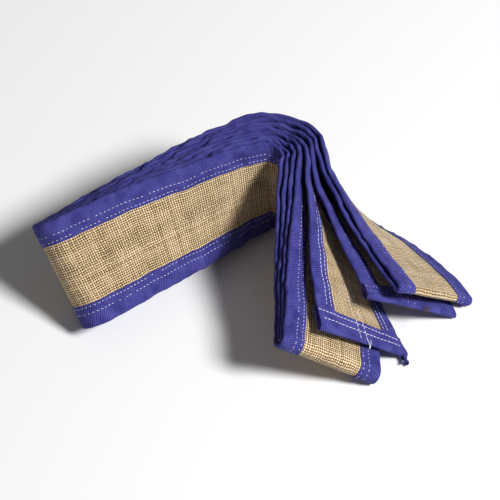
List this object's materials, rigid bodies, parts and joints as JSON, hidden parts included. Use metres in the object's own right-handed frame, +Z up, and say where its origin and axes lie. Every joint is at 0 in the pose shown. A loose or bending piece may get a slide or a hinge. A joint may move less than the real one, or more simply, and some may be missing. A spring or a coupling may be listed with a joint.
{
  "type": "wrestling belt",
  "caption": "Wide jute cloth belt with blue twill edge bindings and hemmed ends, folded in layers into an upright V, its outer folds fanned out.",
  "frame": {"origin": "under the middle of the folded belt's bounding box, on the surface that its lower edges stand on", "axes": "+Z up, +X along the folded belt from the left folds towards the fanned ends, -Y towards the side that the ends fan out to"},
  "size_m": [0.4072, 0.244, 0.114],
  "materials": {
    "jute_cloth": "coarse plain-weave jute (hessian), matt, natural tan",
    "blue_twill": "royal blue cotton twill, matt with a faint diagonal rib",
    "white_thread": "white polyester sewing thread"
  },
  "bodies": {
    "folded_stack": {"front_ply_first_run": "jute_cloth", "back_ply_first_run": "jute_cloth", "upper_binding_first_run": "blue_twill", "lower_binding_first_run": "blue_twill", "front_ply_second_run": "jute_cloth", "back_ply_second_run": "jute_cloth", "upper_binding_second_run": "blue_twill", "lower_binding_second_run": "blue_twill"},
    "first_end": {"front_ply_first_end": "jute_cloth", "back_ply_first_end": "jute_cloth", "upper_binding_first_end": "blue_twill", "lower_binding_first_end": "blue_twill", "end_hem_first_end": "blue_twill"},
    "second_end": {"front_ply_second_end": "jute_cloth", "back_ply_second_end": "jute_cloth", "upper_binding_second_end": "blue_twill", "lower_binding_second_end": "blue_twill", "end_hem_second_end": "blue_twill"},
    "outer_loop": {"front_ply_outer_loop": "jute_cloth", "back_ply_outer_loop": "jute_cloth", "upper_binding_outer_loop": "blue_twill", "lower_binding_outer_loop": "blue_twill"}
  },
  "joints": [
    {"name": "outer_loop_fold", "type": "hinge", "parent": "folded_stack", "child": "outer_loop", "pos_m": [0.0739, 0.07422, 0.05514], "axis": [-0.2238, -0.1668, 0.9603], "range_deg": [0, 60]},
    {"name": "second_end_fold", "type": "hinge", "parent": "folded_stack", "child": "second_end", "pos_m": [0.07358, 0.05385, 0.05211], "axis": [-0.3448, -0.2434, 0.9066], "range_deg": [0, 36]},
    {"name": "first_end_fold", "type": "hinge", "parent": "folded_stack", "child": "first_end", "pos_m": [0.06351, 0.04575, 0.05395], "axis": [-0.3137, -0.0949, 0.9448], "range_deg": [0, 18]}
  ],
  "couplings": [
    {"joint": "second_end_fold", "follows": "outer_loop_fold", "ratio": 0.6},
    {"joint": "first_end_fold", "follows": "outer_loop_fold", "ratio": 0.3}
  ]
}
